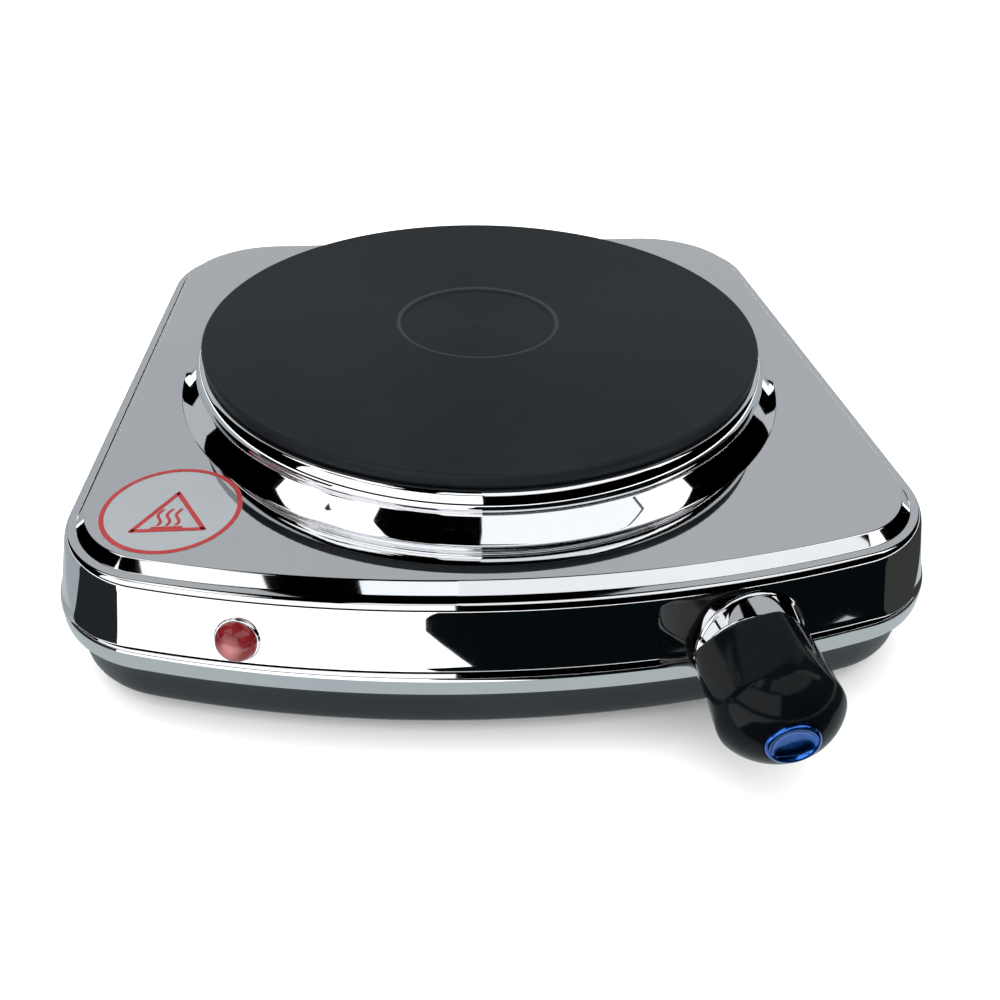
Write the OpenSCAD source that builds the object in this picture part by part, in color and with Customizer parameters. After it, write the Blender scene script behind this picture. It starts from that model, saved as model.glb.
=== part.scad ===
// Single electric hot plate: a cast iron heating plate on a pressed steel body, with a thermostat knob.
// The origin is the centre of the footprint at table level. +Z is up and the controls face -Y.

/* [Body] */
// Width of the body across its flared lip
body_w = 254; // [235:1:310]
// Reach of the body's curved front from the plate's axis
front_reach = 126; // [120:1:155]
// Reach of the body's flat back from the plate's axis
back_reach = 128; // [120:1:155]
// Height of the top panel above the table
panel_z = 49.3; // [46:0.1:62]
// Radius of the curved front edge
front_arc_r = 367; // [300:1:600]
// Radius of the two front corners
front_corner_r = 38; // [34:1:48]
// Radius of the two back corners
back_corner_r = 45; // [36:1:55]
// Thickness of the pressed steel sheet
sheet_t = 0.8; // [0.6:0.1:1.2]
// Inset of the flat top panel from the lip
panel_inset = 12; // [8:0.5:14]

/* [Base] */
// Height of the rubber feet
foot_h = 4; // [3:0.5:8]
// Radius of a rubber foot where it meets the base pan
foot_r = 9; // [8:0.5:12]
// Distance of each foot's axis from the sides of the body
foot_inset = 34; // [32:1:45]
// Height of the lip's lower edge above the table
lip_z = 18.8; // [16:0.1:22]
// Thickness of the base pan
pan_t = 1; // [0.8:0.1:1.5]

/* [Hot plate] */
// Diameter of the cooking surface
plate_d = 185; // [150:1:190]
// Height of the cooking surface above the top panel
plate_rise = 16.7; // [15:0.1:22]
// Thickness of the plate's rim
rim_h = 4.6; // [4:0.1:6]
// Total thickness of the casting
casting_h = 18; // [16:0.5:20]
// Diameter of the turned recess in the centre
recess_d = 53.8; // [40:0.1:70]
// Depth of the turned recess
recess_depth = 0.8; // [0.4:0.1:1.5]
// Radius of the central stud
stud_r = 3; // [2.5:0.5:4]

/* [Spill ring] */
// Distance that the ring's roll stands out past the plate
ring_roll = 3; // [2:0.1:5]
// Distance that the ring's foot stands out past the plate
ring_foot = 8.7; // [6:0.1:9]

/* [Controls] */
// Distance of the knob's axis from the centre line
knob_x = 63; // [55:1:75]
// Height of the knob's axis above the table
control_z = 28; // [26.5:0.5:32]
// Largest radius of the knob
knob_r = 18.6; // [17:0.1:22]
// Length of the knob from its rear face to its nose
knob_len = 28.6; // [28:0.1:36]
// Radius of the pressed boss behind the knob
boss_r = 14.5; // [13:0.1:16]
// Distance of the lamp from the centre line
lamp_x = 70; // [60:1:80]
// Height of the lamp above the table
lamp_z = 34.2; // [30:0.1:36]
// Radius of the lamp's lens
lens_r = 5.6; // [5:0.1:7]
// Radius of the thermostat spindle
spindle_r = 3; // [2.5:0.1:3.5]

/* [Cord inlet] */
// Distance of the cord inlet from the centre line
inlet_x = 60; // [0:1:70]
// Radius of the hole that the mains cord passes through
cord_r = 3.9; // [3:0.1:4.5]

/* [Hidden] */
$fn = 96;
running_fit = 0.05;
cut_len = 20;
clear = 0.3;

// heights above the table
pan_z = foot_h;
lip_h = 5;
wall_z = lip_z + 8.2;
shoulder_z = panel_z - 6.8;
roll_z = panel_z - 2.9;
plate_top = panel_z + plate_rise;
plate_bottom = plate_top - casting_h;
rim_bottom = plate_top - rim_h;
panel_under = panel_z - sheet_t;

// body outline and wall profile, given as insets from the lip
half_w = body_w / 2;
front_corner_x = half_w - front_corner_r;
front_arc_y = front_arc_r - front_reach;
front_corner_y = front_arc_y - sqrt(pow(front_arc_r - front_corner_r, 2) - pow(front_corner_x, 2));
front_angle = atan2(front_arc_y - front_corner_y, front_corner_x);
back_corner_x = half_w - back_corner_r;
back_corner_y = back_reach - back_corner_r;
roll_inset = panel_inset - 3.5;
shoulder_inset = panel_inset - 6.6;
wall_inset = panel_inset - 10.8;
pan_inset = 2.3;
pan_draft = 1;
pan_roll = 4;
wall_tilt = atan((shoulder_inset - wall_inset) / (shoulder_z - wall_z));
function wall_inset_at(z) = wall_inset + (z - wall_z) * tan(wall_tilt);
function front_y(x, inset) = front_arc_y - sqrt(pow(front_arc_r - inset, 2) - x * x);

// plate
plate_r = plate_d / 2;
casting_r = plate_r - 6;
recess_r = recess_d / 2;
groove_w = 12;
groove_depth = 9;
groove_radii = [casting_r * 0.52, casting_r - 13];
coil_r = 2.2;
cover_t = 1;
cover_z = plate_bottom - cover_t;

// spill ring
ring_t = 0.6;
ring_crease = 0.8;
panel_hole_r = plate_r + 3;

// stud, bridge and reflector
bridge_w = 30;
bridge_t = 1.5;
bridge_leg_x = plate_r + 4;
bridge_pad = 14;
bridge_z = cover_z - 5;
reflector_t = 0.5;
reflector_r = casting_r - 4;
reflector_rim_h = 3;
washer_t = 1.2;
nut_h = 5;
stud_root = 7;
stud_bottom = bridge_z - bridge_t - washer_t - nut_h - 3;

// plate terminals
terminal_y = plate_r * 0.63;
terminal_pitch = 11;
terminal_pin_r = 1.6;
terminal_pin_len = 17;
terminal_block_h = 9;
terminal_pin_z = cover_z + 0.5 - terminal_pin_len;

// knob, measured along its axis from its rear face
boss_root = 13;
knob_gap = 0.4;
boss_y = front_y(knob_x - knob_r, 0);
knob_y = boss_y - knob_gap;
ball_z = knob_len - knob_r + 0.3;
cap_r = 6.9;
cap_seat_z = ball_z + sqrt(knob_r * knob_r - cap_r * cap_r);
cap_depth = 1.5;
facets = 4;
facet_rear = knob_r * 0.76;
facet_front_z = knob_len * 0.7;
facet_tilt = atan((sqrt(knob_r * knob_r - pow(facet_front_z - ball_z, 2)) - facet_rear) / facet_front_z);
facet_turn = 35;
knob_hollow = 4;
knob_hollow_r = facet_rear - 4.8;
knob_rear_r = knob_r * 0.92;
clip_t = 0.5;
clip_start = knob_hollow + 0.5;
clip_len = 12;
spindle_bore_len = 18;
spindle_reach = spindle_bore_len - 1.5;
spindle_flat = spindle_r * 0.5;

// thermostat, measured backwards from the inner face of the boss
frame_y = boss_y + sheet_t;
frame_t = 1.2;
frame_half_w = boss_r - 2;
frame_h = 10;
frame_depth = 11;
thermostat_screw_x = 7;
thermostat_screw_r = 1.45;
bush_r = 4.2;
bush_flange_t = 2;
bush_nose = 2;
rivet_x = -25;
rivet_r = 1.5;
spacer_r = 5;
spacer_h = 3;
blade_t = 0.4;
blade_w = 7;
blade_end = 16;
blade_tail = 11;
bimetal_t = 0.9;
stack_y = frame_y + frame_depth + frame_t;
adjusting_y = stack_y + spacer_h;
contact_y = adjusting_y + blade_t + spacer_h;
bimetal_y = contact_y + blade_t + spacer_h;
stack_end_y = bimetal_y + bimetal_t + spacer_h;
spindle_tail = adjusting_y - frame_y - clear;
contact_x = 12;
contact_r = 2;

// lamp, measured along its axis from the wall
lamp_wall_y = front_y(lamp_x, wall_inset_at(lamp_z));
lamp_yaw = asin(lamp_x / (front_arc_r - wall_inset_at(lamp_z)));
lamp_barrel_r = lens_r - 1.2;
lamp_barrel_len = 14;
bezel_r = lens_r + 1;
bezel_t = 1;
lamp_clip_r = lamp_barrel_r + 3;
neon_r = 2.2;
neon_len = 12;

// mains terminal block on the base pan
block_w = 34;
block_l = 18;
block_h = 13;
block_x = -inlet_x + 4;
block_y = back_reach - 52;
block_pitch = 10;
block_z = pan_z + pan_t;
block_wire_z = block_z + 6;
clamp_r = 2.2;

// earth stud on the base pan
earth_x = 12;
earth_y = back_reach - 40;
earth_r = 2;
earth_nut_h = 3;
earth_ring_t = 1.2;

// cord inlet in the back wall
inlet_z = (wall_z + shoulder_z) / 2;
inlet_y = back_reach - wall_inset_at(inlet_z);
gland_neck_r = cord_r + 2.2;
gland_flange_r = gland_neck_r + 1.5;
gland_front_t = 2.4;
gland_rear_t = 2.4;
gland_len = gland_front_t + sheet_t + gland_rear_t + 4;

// vents pressed out of the base pan
vents = 11;
vent_pitch = 9;
vent_w = 4;
vent_l = 28;
vent_front_y = -35;
vent_back_y = 25;

// feet and the screws that go up through them
foot_x = half_w - foot_inset;
foot_front_y = foot_inset + 10 - front_reach;
foot_back_y = back_reach - foot_inset;
base_screw_r = 2;
base_head_r = 3.8;
base_head_h = 2;
base_head_gap = 0.3;
base_screw_len = 7;
strap_w = 14;
strap_t = 1.2;

// internal leads
lead_r = 1.4;
lead_sides = 8;
lead_steps = 4;

decal_r = 19.5;
decal_t = 0.15;
decal_x = -91;
decal_y = front_reach * -0.635;

// the footprint is centred on the origin, so the plate's axis stands behind it
plate_y = (knob_len - knob_y - back_reach) / 2;

module at_plate() {
    translate([0, plate_y, 0]) children();
}

// shapes built along +Z, turned to face the front of the body
module facing_front(x, y, z) {
    translate([x, y, z]) rotate([90, 0, 0]) children();
}

module on_knob_axis() {
    at_plate() facing_front(knob_x, knob_y, control_z) children();
}

module at_lamp() {
    at_plate() translate([-lamp_x, lamp_wall_y, lamp_z]) rotate([90 - wall_tilt, 0, -lamp_yaw]) children();
}

module at_inlet() {
    at_plate() translate([-inlet_x, inlet_y, inlet_z]) rotate([wall_tilt - 90, 0, 0]) children();
}

// ---------------------------------------------------------------- body

function arc_pts(cx, cy, r, from, to, steps) =
    [for (i = [0:steps]) let (a = from + (to - from) * i / steps) [cx + r * cos(a), cy + r * sin(a)]];

function outline_pts(inset) = concat(
    arc_pts(back_corner_x, back_corner_y, back_corner_r - inset, 0, 90, 10),
    arc_pts(-back_corner_x, back_corner_y, back_corner_r - inset, 90, 180, 10),
    arc_pts(-front_corner_x, front_corner_y, front_corner_r - inset, 180, 180 + front_angle, 9),
    arc_pts(0, front_arc_y, front_arc_r - inset, 182 + front_angle, 358 - front_angle, 12),
    arc_pts(front_corner_x, front_corner_y, front_corner_r - inset, 360 - front_angle, 360, 9));

// solid whose outline follows a list of [inset, height], from the bottom up
module tapered_body(levels) {
    rings = [for (l = levels) [for (q = outline_pts(l[0])) [q[0], q[1], l[1]]]];
    n = len(rings[0]);
    last = len(rings) - 1;
    sides = [for (i = [0:last - 1]) for (k = [0:n - 1]) let (m = (k + 1) % n)
        [i * n + k, (i + 1) * n + k, (i + 1) * n + m, i * n + m]];
    bottom = [for (k = [0:n - 1]) k];
    top = [for (k = [n - 1:-1:0]) last * n + k];
    polyhedron([for (r = rings) for (q = r) q], concat([bottom], sides, [top]));
}

module housing() {
    color("silver") difference() {
        union() {
            at_plate() tapered_body([[0, lip_z], [0, lip_z + lip_h], [wall_inset, wall_z],
                [shoulder_inset, shoulder_z], [roll_inset, roll_z], [panel_inset, panel_z]]);
            on_knob_axis() translate([0, 0, -knob_gap - boss_root]) cylinder(r = boss_r, h = boss_root);
        }
        at_plate() tapered_body([[sheet_t, lip_z - 1], [sheet_t, lip_z + lip_h - sheet_t / 4],
            [wall_inset + sheet_t, wall_z - sheet_t / 4], [shoulder_inset + sheet_t, shoulder_z],
            [roll_inset + sheet_t, roll_z - sheet_t / 2], [panel_inset + sheet_t / 2, panel_under]]);
        at_plate() cylinder(r = panel_hole_r, h = plate_top);
        on_knob_axis() translate([0, 0, -knob_gap - sheet_t - cut_len])
            cylinder(r = boss_r - sheet_t, h = cut_len);
        on_knob_axis() translate([0, 0, -cut_len / 2]) cylinder(r = bush_r + clear, h = cut_len);
        for (side = [-1, 1]) on_knob_axis() translate([side * thermostat_screw_x, 0, -cut_len / 2])
            cylinder(r = thermostat_screw_r, h = cut_len);
        at_lamp() translate([0, 0, -cut_len / 2]) cylinder(r = lamp_barrel_r, h = cut_len);
        at_inlet() translate([0, 0, -cut_len / 2]) cylinder(r = gland_neck_r, h = cut_len);
    }
}

// ---------------------------------------------------------------- base

module at_feet() {
    at_plate() for (x = [-foot_x, foot_x]) for (y = [foot_front_y, foot_back_y])
        translate([x, y, 0]) children();
}

module vent_row(y) {
    for (i = [0:vents - 1])
        translate([(i - (vents - 1) / 2) * vent_pitch - vent_w / 2, y - vent_l / 2, pan_z - 1])
            cube([vent_w, vent_l, pan_t + 2]);
}

module base_pan() {
    color("#20262a") difference() {
        at_plate() tapered_body([[pan_inset + pan_roll, pan_z], [pan_inset + pan_draft, pan_z + pan_roll],
            [pan_inset, lip_z - 2], [pan_inset, lip_z + lip_h]]);
        at_plate() tapered_body([[pan_inset + pan_roll + pan_t, pan_z + pan_t],
            [pan_inset + pan_draft + pan_t, pan_z + pan_roll + pan_t / 2],
            [pan_inset + pan_t, lip_z - 2], [pan_inset + pan_t, lip_z + lip_h + 1]]);
        on_knob_axis() translate([0, 0, -knob_gap - boss_root - 1])
            cylinder(r = boss_r + clear, h = boss_root + 10);
        at_feet() cylinder(r = base_screw_r, h = cut_len);
        at_plate() {
            vent_row(vent_front_y);
            vent_row(vent_back_y);
            for (side = [-1, 1]) translate([block_x + side * block_pitch / 2, block_y, 0])
                cylinder(r = clamp_r - 0.7, h = cut_len);
            translate([earth_x, earth_y, 0]) cylinder(r = earth_r, h = cut_len);
        }
    }
}

module rubber_feet() {
    color("#161616") at_feet() difference() {
        cylinder(r1 = foot_r - 1.5, r2 = foot_r, h = foot_h);
        translate([0, 0, -1]) cylinder(r = base_head_r + 0.4, h = base_head_h + base_head_gap + 1);
        cylinder(r = base_screw_r, h = foot_h * 2);
    }
}

module base_screws() {
    color("#c8c8c8") at_feet() translate([0, 0, base_head_gap]) difference() {
        union() {
            cylinder(r = base_head_r, h = base_head_h);
            cylinder(r = base_screw_r, h = base_head_h + base_screw_len);
        }
        for (a = [0, 90]) rotate(a) translate([-2.2, -0.4, -1]) cube([4.4, 0.8, 1.9]);
    }
}

// folded strap between the top panel and the base pan, tapped for a base screw
module corner_straps() {
    color("#9aa0a4") at_feet() difference() {
        union() {
            translate([-strap_w / 2, -strap_w / 2, pan_z + pan_t]) cube([strap_w, strap_w, strap_t]);
            translate([-strap_w / 2, -strap_w / 2, pan_z + pan_t])
                cube([strap_w, strap_t, panel_under - pan_z - pan_t]);
            translate([-strap_w / 2, -strap_w / 2, panel_under - strap_t]) cube([strap_w, strap_w, strap_t]);
        }
        cylinder(r = base_screw_r, h = cut_len);
    }
}

module rating_plate() {
    color("#b8bcc0") at_plate() translate([-30, 48, pan_z - 0.3]) cube([60, 26, 0.3]);
}

module caution_decal() {
    color("#d8342c") at_plate() translate([decal_x, decal_y, panel_z]) cylinder(r = decal_r, h = decal_t);
}

// ---------------------------------------------------------------- hot plate

module groove_rings(r, h) {
    rotate_extrude() translate([r - groove_w / 2, 0]) square([groove_w, h]);
}

module coil_ring(r) {
    translate([0, 0, plate_bottom + groove_depth / 2])
        rotate_extrude() translate([r, 0]) circle(r = coil_r, $fn = 24);
}

module hotplate() {
    color("#2b3236") at_plate() difference() {
        rotate_extrude() polygon([
            [0, plate_top - recess_depth], [recess_r - 1.2, plate_top - recess_depth],
            [recess_r, plate_top], [plate_r - 1, plate_top], [plate_r, plate_top - 1],
            [plate_r - 0.6, rim_bottom], [casting_r, rim_bottom], [casting_r, plate_bottom],
            [0, plate_bottom]]);
        for (r = groove_radii) translate([0, 0, plate_bottom - 1]) groove_rings(r, groove_depth + 1);
        translate([0, 0, plate_bottom - 1]) cylinder(r = stud_r, h = stud_root + 1);
    }
}

module insulating_cement() {
    color("#e8e2d2") at_plate() for (r = groove_radii) difference() {
        translate([0, 0, plate_bottom]) groove_rings(r, groove_depth);
        coil_ring(r);
    }
}

module heating_coils() {
    color("#8a6f5a") at_plate() for (r = groove_radii) coil_ring(r);
}

module plate_stud() {
    color("#9aa0a4") at_plate() translate([0, 0, stud_bottom])
        cylinder(r = stud_r, h = plate_bottom + stud_root - stud_bottom);
}

module plate_cover() {
    color("#a8adb0") at_plate() difference() {
        translate([0, 0, cover_z]) cylinder(r = casting_r - 1, h = cover_t);
        cylinder(r = stud_r, h = plate_top);
        for (i = [-1:1]) translate([i * terminal_pitch, terminal_y, 0])
            cylinder(r = terminal_pin_r + 1, h = plate_top);
    }
}

module plate_terminal_block() {
    color("#e9e4da") at_plate() difference() {
        translate([-terminal_pitch - 6, terminal_y - 6, cover_z - terminal_block_h])
            cube([2 * terminal_pitch + 12, 12, terminal_block_h]);
        for (i = [-1:1]) translate([i * terminal_pitch, terminal_y, 0])
            cylinder(r = terminal_pin_r, h = plate_top);
    }
}

module plate_terminal_pins() {
    color("#c9cdd0") at_plate() for (i = [-1:1])
        translate([i * terminal_pitch, terminal_y, terminal_pin_z])
            cylinder(r = terminal_pin_r, h = terminal_pin_len);
}

// spun collar of chromed sheet: a roll under the plate's rim, a crease, then a flared foot on the panel
module spill_ring() {
    roll_x = plate_r - 1;
    roll_h = (rim_bottom - panel_z) * 0.58;
    crease_top = rim_bottom - roll_h;
    crease_x = roll_x + ring_roll;
    color("gainsboro") at_plate() rotate_extrude() polygon(concat(
        [[casting_r + 0.5, rim_bottom]],
        [for (i = [0:8]) let (a = 90 - i * 130 / 8)
            [roll_x + ring_roll * cos(a) + ring_crease, rim_bottom - roll_h / 2 + roll_h / 2 * sin(a)]],
        [[crease_x, crease_top], [plate_r + ring_foot, panel_z + ring_t], [plate_r + ring_foot, panel_z],
            [plate_r + ring_foot - 1, panel_z], [crease_x - ring_t, crease_top - 0.2]],
        [for (i = [8:-1:0]) let (a = 90 - i * 130 / 8)
            [roll_x + (ring_roll - ring_t) * cos(a) + ring_crease - ring_t / 2,
                rim_bottom - roll_h / 2 + (roll_h / 2 - ring_t) * sin(a)]],
        [[casting_r + 0.5, rim_bottom - ring_t]]));
}

// ---------------------------------------------------------------- clamping of the plate

module bridge_bracket() {
    color("#a8adb0") at_plate() difference() {
        union() {
            translate([-bridge_leg_x, -bridge_w / 2, bridge_z - bridge_t])
                cube([2 * bridge_leg_x, bridge_w, bridge_t]);
            for (side = [0, 1]) mirror([side, 0, 0]) {
                translate([bridge_leg_x - bridge_t, -bridge_w / 2, bridge_z - bridge_t])
                    cube([bridge_t, bridge_w, panel_under - bridge_z + bridge_t]);
                translate([bridge_leg_x - bridge_t, -bridge_w / 2, panel_under - bridge_t])
                    cube([bridge_pad, bridge_w, bridge_t]);
            }
        }
        cylinder(r = stud_r + 0.2, h = plate_top);
    }
}

module heat_reflector() {
    color("#c4c8cb") at_plate() difference() {
        translate([0, 0, bridge_z]) rotate_extrude() polygon([
            [0, 0], [reflector_r, 0], [reflector_r + 1, reflector_rim_h],
            [reflector_r + 1 - reflector_t, reflector_rim_h], [reflector_r - reflector_t, reflector_t],
            [0, reflector_t]]);
        cylinder(r = stud_r + 0.2, h = plate_top);
        translate([-terminal_pitch - 8, terminal_y - 8, 0]) cube([2 * terminal_pitch + 16, 16, plate_top]);
    }
}

module stud_washer() {
    color("#b9bdc0") at_plate() translate([0, 0, bridge_z - bridge_t - washer_t]) difference() {
        cylinder(r = stud_r * 2.6, h = washer_t);
        translate([0, 0, -1]) cylinder(r = stud_r + 0.2, h = washer_t + 2);
    }
}

module stud_nut() {
    color("#b9bdc0") at_plate() translate([0, 0, bridge_z - bridge_t - washer_t - nut_h]) difference() {
        cylinder(r = stud_r * 1.9, h = nut_h, $fn = 6);
        translate([0, 0, -1]) cylinder(r = stud_r, h = nut_h + 2);
    }
}

// ---------------------------------------------------------------- knob

// barrel that runs into a ball, from the rear face up to the seat of the cap
module knob_ball() {
    rotate_extrude() polygon(concat(
        [[0, 0], [knob_rear_r, 0]],
        arc_pts(0, ball_z, knob_r, -12, 90 - asin(cap_r / knob_r), 24),
        [[0, cap_seat_z]]));
}

// space cut away beside one flat of the grip, which leans outwards to meet the ball
module knob_facet() {
    translate([facet_rear, -knob_r, 0]) rotate([0, facet_tilt, 0])
        translate([0, 0, -knob_r]) cube([knob_r, 2 * knob_r, 3 * knob_r]);
}

module knob() {
    color("#101214") on_knob_axis() difference() {
        knob_ball();
        for (i = [0:facets - 1]) rotate(facet_turn + i * 360 / facets) knob_facet();
        translate([0, 0, -1]) cylinder(r = knob_hollow_r, h = knob_hollow + 1);
        difference() {
            cylinder(r = spindle_r + clip_t, h = spindle_bore_len);
            translate([-10, spindle_flat + clip_t, -1]) cube([20, 10, spindle_bore_len + 2]);
        }
        translate([0, 0, cap_seat_z - cap_depth]) cylinder(r = cap_r - 1.2, h = 5);
    }
}

module knob_cap() {
    color("#0a6fe0") on_knob_axis() rotate_extrude() polygon(concat(
        [[0, cap_seat_z - cap_depth], [cap_r - 1.2, cap_seat_z - cap_depth], [cap_r - 1.2, cap_seat_z]],
        [for (i = [0:8]) let (a = i * 90 / 8)
            [cap_r * cos(a), cap_seat_z + (knob_len - cap_seat_z) * sin(a)]]));
}

// spring sleeve of folded steel that grips the spindle inside the knob
module knob_clip() {
    color("#c9cdd0") on_knob_axis() translate([0, 0, clip_start]) difference() {
        cylinder(r = spindle_r + clip_t, h = clip_len);
        translate([0, 0, -1]) cylinder(r = spindle_r, h = clip_len + 2);
        translate([-10, spindle_flat, -1]) cube([20, 10, clip_len + 2]);
    }
}

// ---------------------------------------------------------------- thermostat

module thermostat_spindle() {
    tail = frame_y + spindle_tail - knob_y;
    color("#d0a860") on_knob_axis() translate([0, 0, -tail]) difference() {
        cylinder(r = spindle_r, h = tail + spindle_reach);
        translate([-10, spindle_flat, tail + 1]) cube([20, 10, spindle_reach]);
    }
}

module at_frame(x) {
    at_plate() facing_front(knob_x + x, frame_y, control_z) children();
}

module thermostat_bush() {
    color("#c9a24a") at_frame(0) difference() {
        union() {
            translate([0, 0, -frame_t]) cylinder(r = bush_r, h = frame_t + sheet_t + bush_nose);
            translate([0, 0, -frame_t - bush_flange_t]) cylinder(r = bush_r + 1, h = bush_flange_t);
        }
        translate([0, 0, -10]) cylinder(r = spindle_r + running_fit, h = 20);
    }
}

// folded steel channel: ears on the boss, a leg back, and an arm that carries the contact stack
module thermostat_frame() {
    arm_len = frame_half_w + rivet_x - spacer_r - 1;
    color("#b4b8bb") difference() {
        at_plate() translate([knob_x, frame_y, control_z - frame_h / 2]) {
            translate([-frame_half_w, 0, 0]) cube([2 * frame_half_w, frame_t, frame_h]);
            translate([-frame_half_w, 0, 0]) cube([frame_t, frame_depth + frame_t, frame_h]);
            translate([rivet_x - spacer_r - 1, frame_depth, 0])
                cube([frame_t - arm_len, frame_t, frame_h]);
        }
        at_frame(0) translate([0, 0, -5]) cylinder(r = bush_r, h = 10);
        for (side = [-1, 1]) at_frame(side * thermostat_screw_x) translate([0, 0, -5])
            cylinder(r = thermostat_screw_r, h = 10);
        at_frame(rivet_x) translate([0, 0, -20]) cylinder(r = rivet_r, h = 20);
    }
}

module thermostat_screws() {
    color("#c8c8c8") for (side = [-1, 1]) at_frame(side * thermostat_screw_x) {
        translate([0, 0, -frame_t - 2]) cylinder(r = thermostat_screw_r, h = frame_t + 2 + sheet_t);
        translate([0, 0, sheet_t]) cylinder(r = thermostat_screw_r + 0.8, h = 1.2);
    }
}

// shapes of the contact stack lie along the arm, at a distance behind the boss
module stack_ring(y, h) {
    at_plate() facing_front(knob_x + rivet_x, y + h, control_z) difference() {
        cylinder(r = spacer_r, h = h);
        translate([0, 0, -1]) cylinder(r = rivet_r, h = h + 2);
    }
}

module blade(y, t, from, to) {
    difference() {
        at_plate() translate([knob_x + from, y, control_z - blade_w / 2]) cube([to - from, t, blade_w]);
        at_plate() facing_front(knob_x + rivet_x, y + 5, control_z) cylinder(r = rivet_r, h = 10);
    }
}

module thermostat_rivet() {
    color("#b9bdc0") at_plate() facing_front(knob_x + rivet_x, stack_end_y + 1, control_z) {
        cylinder(r = rivet_r, h = stack_end_y + 1 - stack_y + frame_t);
        cylinder(r = rivet_r + 1.2, h = 1);
    }
}

module ceramic_spacers() {
    color("#efeae0") {
        for (y = [stack_y, adjusting_y + blade_t, contact_y + blade_t, bimetal_y + bimetal_t])
            stack_ring(y, spacer_h);
        at_plate() facing_front(knob_x, bimetal_y, control_z) cylinder(r = 1.2, h = spacer_h - 0.2);
    }
}

module adjusting_blade() {
    color("#c8a45a") blade(adjusting_y, blade_t, rivet_x - blade_tail, blade_end);
}

module contact_blade() {
    color("#c8a45a") blade(contact_y, blade_t, rivet_x - blade_tail, blade_end);
}

module bimetal_strip() {
    color("#9a8f86") blade(bimetal_y, bimetal_t, rivet_x - spacer_r, blade_end - 10);
}

module contact_points() {
    color("#e6e6e6") {
        at_plate() facing_front(knob_x + contact_x, contact_y, control_z)
            cylinder(r = contact_r, h = spacer_h / 2 - 0.05);
        at_plate() facing_front(knob_x + contact_x, adjusting_y + blade_t + spacer_h / 2 - 0.05, control_z)
            cylinder(r = contact_r, h = spacer_h / 2 - 0.05);
    }
}

// ---------------------------------------------------------------- lamp

module lamp_lens() {
    color("#b01218") at_lamp() difference() {
        union() {
            translate([0, 0, -lamp_barrel_len]) cylinder(r = lamp_barrel_r, h = lamp_barrel_len + bezel_t);
            translate([0, 0, bezel_t]) rotate_extrude() polygon(concat(
                [[0, 0], [lens_r - 0.4, 0]],
                [for (i = [0:10]) let (a = i * 9) [lens_r * cos(a) * 0.97, 0.4 + lens_r * 0.72 * sin(a)]]));
        }
        translate([0, 0, -lamp_barrel_len - 1]) cylinder(r = lamp_barrel_r - 1, h = lamp_barrel_len + 2.5);
    }
}

module lamp_bezel() {
    color("gainsboro") at_lamp() difference() {
        translate([0, 0, 0.1]) cylinder(r = bezel_r, h = bezel_t - 0.1);
        translate([0, 0, -1]) cylinder(r = lamp_barrel_r, h = 5);
    }
}

// push-on spring washer that holds the lamp against the wall from inside
module lamp_clip() {
    color("#b9bdc0") at_lamp() translate([0, 0, -sheet_t - 2.2]) difference() {
        cylinder(r = lamp_clip_r, h = 0.6);
        translate([0, 0, -1]) cylinder(r = lamp_barrel_r, h = 3);
    }
}

module neon_lamp() {
    color("#f2b08a") at_lamp() translate([0, 0, -lamp_barrel_len + 1]) {
        cylinder(r = neon_r, h = neon_len - neon_r);
        translate([0, 0, neon_len - neon_r]) sphere(r = neon_r, $fn = 24);
    }
}

// ---------------------------------------------------------------- mains connection

module terminal_block() {
    color("#e4e0d6") at_plate() difference() {
        translate([block_x - block_w / 2, block_y - block_l / 2, block_z]) cube([block_w, block_l, block_h]);
        for (i = [-1:1]) {
            translate([block_x + i * block_pitch, block_y, block_wire_z]) rotate([90, 0, 0])
                cylinder(r = lead_r + 0.4, h = block_l + 2, center = true);
            translate([block_x + i * block_pitch, block_y, block_wire_z]) cylinder(r = clamp_r, h = block_h);
        }
        for (side = [-1, 1]) translate([block_x + side * block_pitch / 2, block_y, 0])
            cylinder(r = clamp_r - 0.7, h = block_z + 5);
    }
}

module terminal_clamps() {
    color("#c8a45a") at_plate() for (i = [-1:1])
        translate([block_x + i * block_pitch, block_y, block_wire_z + lead_r])
            cylinder(r = clamp_r, h = block_h - 6 - lead_r - 1);
}

module terminal_block_screws() {
    color("#c8c8c8") at_plate() for (side = [-1, 1])
        translate([block_x + side * block_pitch / 2, block_y, pan_z - 1.2]) {
            cylinder(r = clamp_r - 0.7, h = 1.2 + pan_t + 5);
            cylinder(r = clamp_r + 0.6, h = 1.2);
        }
}

// flanged bush that lines the cord's hole in the back wall
module cord_gland() {
    color("#141414") at_inlet() difference() {
        union() {
            cylinder(r = gland_flange_r, h = gland_front_t);
            translate([0, 0, gland_front_t - gland_len]) cylinder(r = gland_neck_r, h = gland_len);
            translate([0, 0, -sheet_t - gland_rear_t]) cylinder(r = gland_flange_r - 0.5, h = gland_rear_t);
        }
        translate([0, 0, -20]) cylinder(r = cord_r, h = 40);
    }
}

module earth_stud() {
    color("#c8c8c8") at_plate() translate([earth_x, earth_y, pan_z - 1.4]) {
        cylinder(r = earth_r, h = 12);
        cylinder(r = earth_r + 1.6, h = 1.4);
    }
}

module earth_nut() {
    color("#c8a45a") at_plate() translate([earth_x, earth_y, pan_z + pan_t + earth_ring_t]) difference() {
        cylinder(r = earth_r * 1.9, h = earth_nut_h, $fn = 6);
        translate([0, 0, -1]) cylinder(r = earth_r, h = earth_nut_h + 2);
    }
}

// ---------------------------------------------------------------- internal leads

function clamp_index(p, i) = p[max(0, min(len(p) - 1, i))];

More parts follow.
